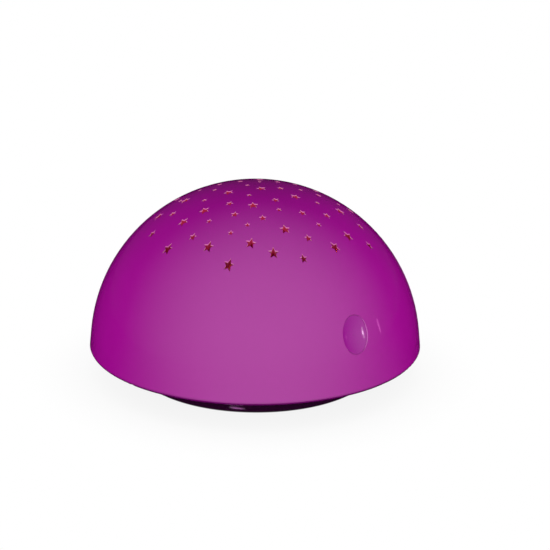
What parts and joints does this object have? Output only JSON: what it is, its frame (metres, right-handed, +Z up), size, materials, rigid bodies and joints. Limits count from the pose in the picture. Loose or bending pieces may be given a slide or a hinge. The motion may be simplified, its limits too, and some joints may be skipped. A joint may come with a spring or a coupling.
{
  "type": "star night light projector",
  "caption": "Domed battery night light with star-shaped holes over an inner lamp, a dished push button on its side and a low round foot.",
  "frame": {"origin": "middle of the surface the light stands on, under the dome's axis, level with the bottom of its rubber pads", "axes": "+Z up along the dome's axis; -Y towards the front; the push button looks out between -Y and +X"},
  "size_m": [0.1406, 0.1406, 0.0817],
  "materials": {
    "dome_plastic": "polished moulded plastic, purple",
    "button_plastic": "polished moulded plastic, purple",
    "base_plastic": "glossy moulded plastic, dark plum",
    "pad_rubber": "soft matt rubber",
    "screw_steel": "zinc plated",
    "contact_steel": "nickel plated spring steel",
    "insert_brass": "turned",
    "cell_sleeve": "plain printed sleeve over a steel can",
    "board_laminate": "solder-masked laminate",
    "led_board_laminate": "white solder-masked laminate",
    "chip_black": "moulded epoxy",
    "capacitor_can": "drawn can",
    "nylon_white": "natural nylon",
    "deck_plastic": "white moulded plastic",
    "red_lens": "clear tinted epoxy, lit",
    "green_lens": "clear tinted epoxy",
    "blue_lens": "clear tinted epoxy",
    "switch_black": "moulded",
    "wire_red": "vinyl sleeve",
    "wire_yellow": "vinyl sleeve",
    "wire_black": "vinyl sleeve"
  },
  "bodies": {
    "root": {"dome_shell": "dome_plastic", "base_shell": "base_plastic", "foot_pads": "pad_rubber", "housing_screws": "screw_steel", "screw_insert": "insert_brass", "battery_cells": "cell_sleeve", "battery_springs": "contact_steel", "battery_plates": "contact_steel", "main_board": "board_laminate", "board_screws": "screw_steel", "control_chip": "chip_black", "capacitor": "capacitor_can", "wire_headers": "nylon_white", "light_deck": "deck_plastic", "deck_screws": "screw_steel", "led_board": "led_board_laminate", "led_board_screws": "screw_steel", "red_led": "red_lens", "green_led": "green_lens", "blue_led": "blue_lens", "button_spring": "contact_steel", "switch_board": "board_laminate", "switch_board_screws": "screw_steel", "switch_housing": "switch_black", "battery_wires": "wire_red", "led_wires": "wire_yellow", "switch_wires": "wire_black"},
    "button": {"button_cap": "button_plastic"},
    "plunger": {"switch_plunger": "nylon_white"},
    "door": {"battery_door": "base_plastic"},
    "door_fastener": {"door_screw": "screw_steel"}
  },
  "joints": [
    {"name": "button_press", "type": "slide", "parent": "root", "child": "button", "axis": [-0.5735, 0.7474, -0.3355], "range_m": [0, 0.0012], "stiffness_N_per_m": 1500, "springref_m": -0.0004, "deforming": ["button_spring"]},
    {"name": "plunger_travel", "type": "slide", "parent": "root", "child": "plunger", "axis": [-0.5735, 0.7474, -0.3355], "range_m": [0, 0.0012]},
    {"name": "door_swing", "type": "hinge", "parent": "root", "child": "door", "pos_m": [0, -0.0233, 0.0008], "axis": [-1, 0, 0], "range_deg": [0, 45]},
    {"name": "door_screw_travel", "type": "slide", "parent": "door", "child": "door_fastener", "axis": [0, 0, -1], "range_m": [0, 0.005]}
  ],
  "couplings": [
    {"joint": "plunger_travel", "follows": "button_press", "ratio": 1}
  ]
}
